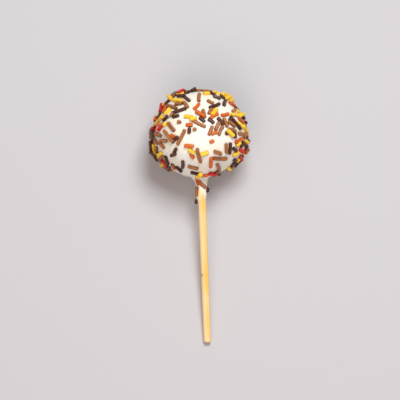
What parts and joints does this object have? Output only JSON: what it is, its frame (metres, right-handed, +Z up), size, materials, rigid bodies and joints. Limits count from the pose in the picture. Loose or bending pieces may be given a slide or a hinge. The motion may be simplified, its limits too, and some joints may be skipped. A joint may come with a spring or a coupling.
{
  "type": "cake pop",
  "caption": "Ball of cake on a thin wooden stick, dipped in smooth white coating with rod sprinkles of mixed colours, lying on its side.",
  "frame": {"origin": "on the floor, in the flat spot that the ball rests on, straight below the middle of the ball", "axes": "+Z up, -Y along the stick towards its far end, +X to the right of the shown face with the ball at the top"},
  "size_m": [0.0419, 0.1028, 0.0398],
  "materials": {
    "coating": "smooth satin sugar coating",
    "bamboo": "raw, fine straight grain"
  },
  "bodies": {
    "root": {"coated_ball": "coating", "stick": "bamboo"}
  },
  "joints": []
}
